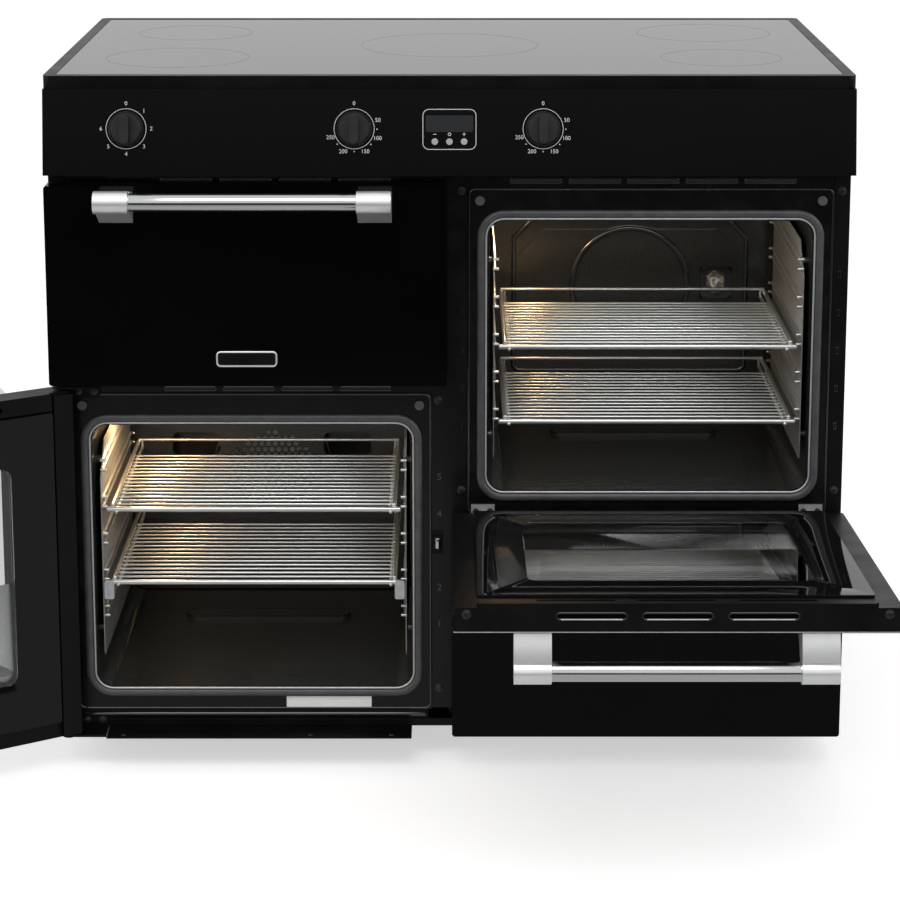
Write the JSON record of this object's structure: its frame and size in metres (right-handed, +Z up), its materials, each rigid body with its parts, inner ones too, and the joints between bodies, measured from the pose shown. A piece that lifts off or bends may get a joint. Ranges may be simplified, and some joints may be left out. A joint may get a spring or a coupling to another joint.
{
  "type": "range cooker with double oven",
  "caption": "Black range cooker with two ovens, a grill compartment, a storage drawer, wire shelves and a glass hob.",
  "frame": {"origin": "on the floor, in the middle of the body's footprint, in the plane of the four feet", "axes": "+X to the right seen from the front, +Y to the back, +Z up"},
  "size_m": [1.4165, 1.0368, 0.9],
  "materials": {
    "casing_black": "satin",
    "gloss_black": "gloss",
    "oven_enamel": "gloss",
    "black_glass": "gloss",
    "galvanised": "satin",
    "satin_steel": "satin",
    "handle_steel": "satin",
    "bright_wire": "gloss",
    "element_steel": "matt",
    "seal_rubber": "matt",
    "lamp_glass": "gloss",
    "heater_ceramic": "matt",
    "gloss_plastic": "gloss",
    "dial_plastic": "satin",
    "foot_plastic": "matt"
  },
  "bodies": {
    "range_body": {"base_tray": "casing_black", "left_side_panel": "casing_black", "right_side_panel": "casing_black", "back_panel": "galvanised", "centre_partition": "galvanised", "front_frame": "casing_black", "left_oven_front": "oven_enamel", "right_oven_front": "oven_enamel", "left_oven_cavity": "oven_enamel", "right_oven_cavity": "oven_enamel", "grill_cavity": "oven_enamel", "heating_elements": "element_steel", "left_oven_seal": "seal_rubber", "right_oven_seal": "seal_rubber", "left_shelf_ladders": "bright_wire", "right_shelf_ladders": "bright_wire", "fan_cover": "oven_enamel", "fan_motor": "galvanised", "oven_lamps": "lamp_glass", "hob_frame": "casing_black", "hob_glass": "black_glass", "hob_heaters": "heater_ceramic", "control_panel": "gloss_black", "timer_display": "gloss_plastic", "dial_switches": "gloss_plastic", "levelling_feet": "foot_plastic", "terminal_box": "foot_plastic", "door_buffers": "seal_rubber", "door_catch": "satin_steel", "lower_trim": "casing_black", "side_hinges": "satin_steel", "drop_hinges": "satin_steel", "drawer_runners": "galvanised"},
    "left_oven_door": {"left_door_panel": "gloss_black", "left_door_inner": "casing_black", "left_door_glass": "black_glass", "left_door_window": "black_glass", "left_door_handle": "handle_steel"},
    "right_oven_door": {"right_door_panel": "gloss_black", "right_door_inner": "casing_black", "right_door_glass": "black_glass", "right_door_window": "black_glass", "right_door_handle": "handle_steel"},
    "grill_door": {"grill_door_panel": "gloss_black", "grill_door_inner": "casing_black", "grill_door_handle": "handle_steel"},
    "drawer": {"drawer_front": "gloss_black", "drawer_box": "casing_black", "drawer_handle": "handle_steel"},
    "fan_impeller_body": {"fan_impeller": "galvanised"},
    "left_dial_body": {"left_dial": "dial_plastic"},
    "middle_dial_body": {"middle_dial": "dial_plastic"},
    "right_dial_body": {"right_dial": "dial_plastic"},
    "minus_button_body": {"minus_button": "satin_steel"},
    "mode_button_body": {"mode_button": "satin_steel"},
    "plus_button_body": {"plus_button": "satin_steel"},
    "left_upper_rack_body": {"left_upper_rack": "bright_wire"},
    "left_lower_rack_body": {"left_lower_rack": "bright_wire"},
    "right_upper_rack_body": {"right_upper_rack": "bright_wire"},
    "right_lower_rack_body": {"right_lower_rack": "bright_wire"}
  },
  "joints": [
    {"name": "left_door_swing", "type": "hinge", "parent": "range_body", "child": "left_oven_door", "pos_m": [-0.49, -0.282, 0.274], "axis": [0, 0, -1], "range_deg": [-149, 0]},
    {"name": "right_door_drop", "type": "hinge", "parent": "range_body", "child": "right_oven_door", "pos_m": [0.2516, -0.288, 0.323], "axis": [1, 0, 0], "range_deg": [-85.5, 0]},
    {"name": "grill_door_drop", "type": "hinge", "parent": "range_body", "child": "grill_door", "pos_m": [-0.2516, -0.292, 0.524], "axis": [1, 0, 0], "range_deg": [0, 90], "stiffness_Nm_per_rad": 2, "springref_deg": -34.38},
    {"name": "drawer_slide", "type": "slide", "parent": "range_body", "child": "drawer", "axis": [0, -1, 0], "range_m": [0, 0.3]},
    {"name": "left_upper_rack_slide", "type": "slide", "parent": "range_body", "child": "left_upper_rack_body", "axis": [0, -1, 0], "range_m": [0, 0.22]},
    {"name": "left_lower_rack_slide", "type": "slide", "parent": "range_body", "child": "left_lower_rack_body", "axis": [0, -1, 0], "range_m": [0, 0.22]},
    {"name": "right_upper_rack_slide", "type": "slide", "parent": "range_body", "child": "right_upper_rack_body", "axis": [0, -1, 0], "range_m": [0, 0.22]},
    {"name": "right_lower_rack_slide", "type": "slide", "parent": "range_body", "child": "right_lower_rack_body", "axis": [0, -1, 0], "range_m": [0, 0.22]},
    {"name": "left_dial_turn", "type": "hinge", "parent": "range_body", "child": "left_dial_body", "pos_m": [-0.397, -0.29099, 0.83599], "axis": [0, -0.9877, 0.1562], "range_deg": [0, 270]},
    {"name": "middle_dial_turn", "type": "hinge", "parent": "range_body", "child": "middle_dial_body", "pos_m": [-0.117, -0.29099, 0.83599], "axis": [0, -0.9877, 0.1562], "range_deg": [0, 270]},
    {"name": "right_dial_turn", "type": "hinge", "parent": "range_body", "child": "right_dial_body", "pos_m": [0.115, -0.29099, 0.83599], "axis": [0, -0.9877, 0.1562], "range_deg": [0, 270]},
    {"name": "minus_button_press", "type": "slide", "parent": "range_body", "child": "minus_button_body", "axis": [0, 0.9877, -0.1562], "range_m": [0, 0.0015], "stiffness_N_per_m": 800, "springref_m": -0.0005},
    {"name": "mode_button_press", "type": "slide", "parent": "range_body", "child": "mode_button_body", "axis": [0, 0.9877, -0.1562], "range_m": [0, 0.0015], "stiffness_N_per_m": 800, "springref_m": -0.0005},
    {"name": "plus_button_press", "type": "slide", "parent": "range_body", "child": "plus_button_body", "axis": [0, 0.9877, -0.1562], "range_m": [0, 0.0015], "stiffness_N_per_m": 800, "springref_m": -0.0005},
    {"name": "fan_spin", "type": "hinge", "parent": "range_body", "child": "fan_impeller_body", "pos_m": [-0.2516, -0.02, 0.275], "axis": [0, 1, 0], "continuous": true}
  ]
}
